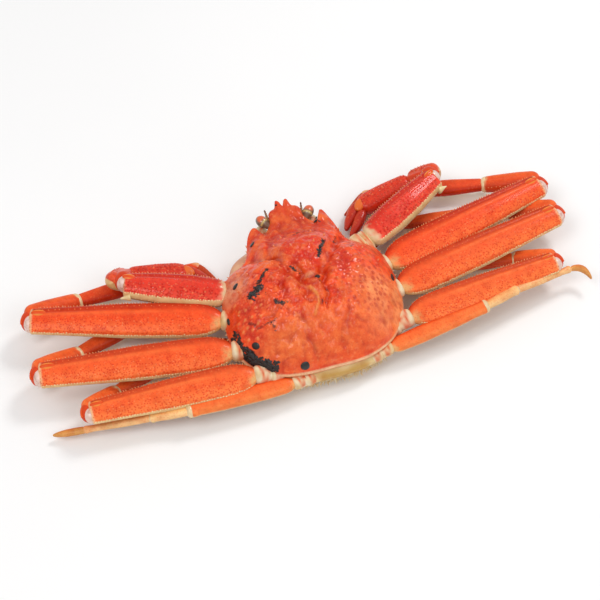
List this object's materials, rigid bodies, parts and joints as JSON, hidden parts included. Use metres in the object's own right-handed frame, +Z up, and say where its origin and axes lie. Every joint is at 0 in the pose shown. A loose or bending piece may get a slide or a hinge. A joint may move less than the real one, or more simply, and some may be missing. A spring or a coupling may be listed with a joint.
{
  "type": "cooked snow crab",
  "caption": "Whole boiled snow crab lying on its belly, with a domed carapace, stalked eyes and long flattened legs folded beside it.",
  "frame": {"origin": "middle of the crab's outline box, on the surface that the crab lies on", "axes": "+X to the crab's right side, +Y to its front, +Z up"},
  "size_m": [0.4456, 0.179, 0.0663],
  "materials": {
    "shell": "satin boiled shell, red-orange",
    "pale_shell": "satin cream-yellow shell of the under side",
    "membrane": "wet pinkish white joint skin",
    "eye": "glossy dark brown",
    "black_growth": "glossy black"
  },
  "bodies": {
    "root": {"crab": "shell"}
  },
  "joints": []
}
